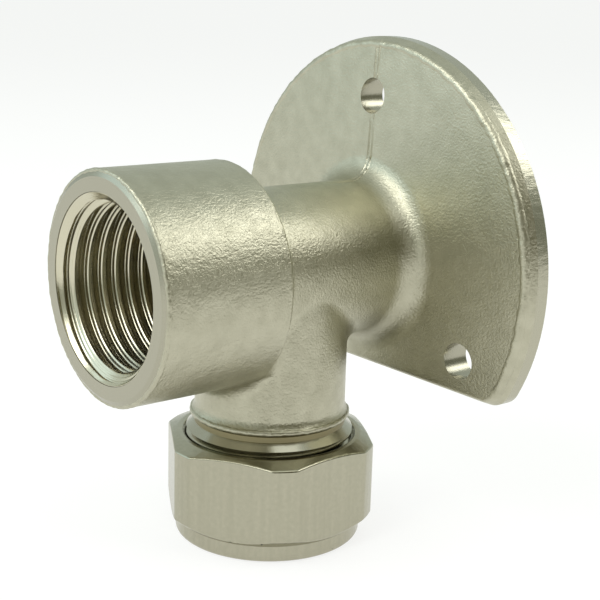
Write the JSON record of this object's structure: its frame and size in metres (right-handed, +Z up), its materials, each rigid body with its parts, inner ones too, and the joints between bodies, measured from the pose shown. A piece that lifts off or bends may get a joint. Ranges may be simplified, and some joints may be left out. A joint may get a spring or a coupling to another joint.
{
  "type": "wall plate elbow",
  "caption": "Nickel-plated brass elbow on a D-shaped wall flange, with a female pipe thread facing the room and a compression nut and olive for copper pipe pointing down.",
  "frame": {"origin": "centre of the flange's back face, on the wall and on the socket's axis", "axes": "+Y into the wall, -Y out of the socket towards the room, +Z up, with the compression end pointing to -Z, and +X to the right seen from the room"},
  "size_m": [0.0542, 0.0418, 0.0604],
  "materials": {
    "forged_nickel": "forged brass, shot-blasted and nickel plated, satin",
    "turned_nickel": "turned hexagon brass, nickel plated, fine brushed lines",
    "olive_brass": "plain turned brass, bright"
  },
  "bodies": {
    "elbow": {"elbow_body": "forged_nickel"},
    "ring": {"olive": "olive_brass"},
    "nut": {"compression_nut": "turned_nickel"}
  },
  "joints": [
    {"name": "nut_travel", "type": "slide", "parent": "elbow", "child": "ring", "axis": [0, 0, 1], "range_m": [-0.00382, 0.00029]},
    {"name": "nut_turn", "type": "hinge", "parent": "ring", "child": "nut", "pos_m": [0, -0.0184, -0.027], "axis": [0, 0, 1], "range_deg": [-1080, 80]}
  ],
  "couplings": [
    {"joint": "nut_travel", "follows": "nut_turn", "m_per_rad": 0.00020213}
  ]
}
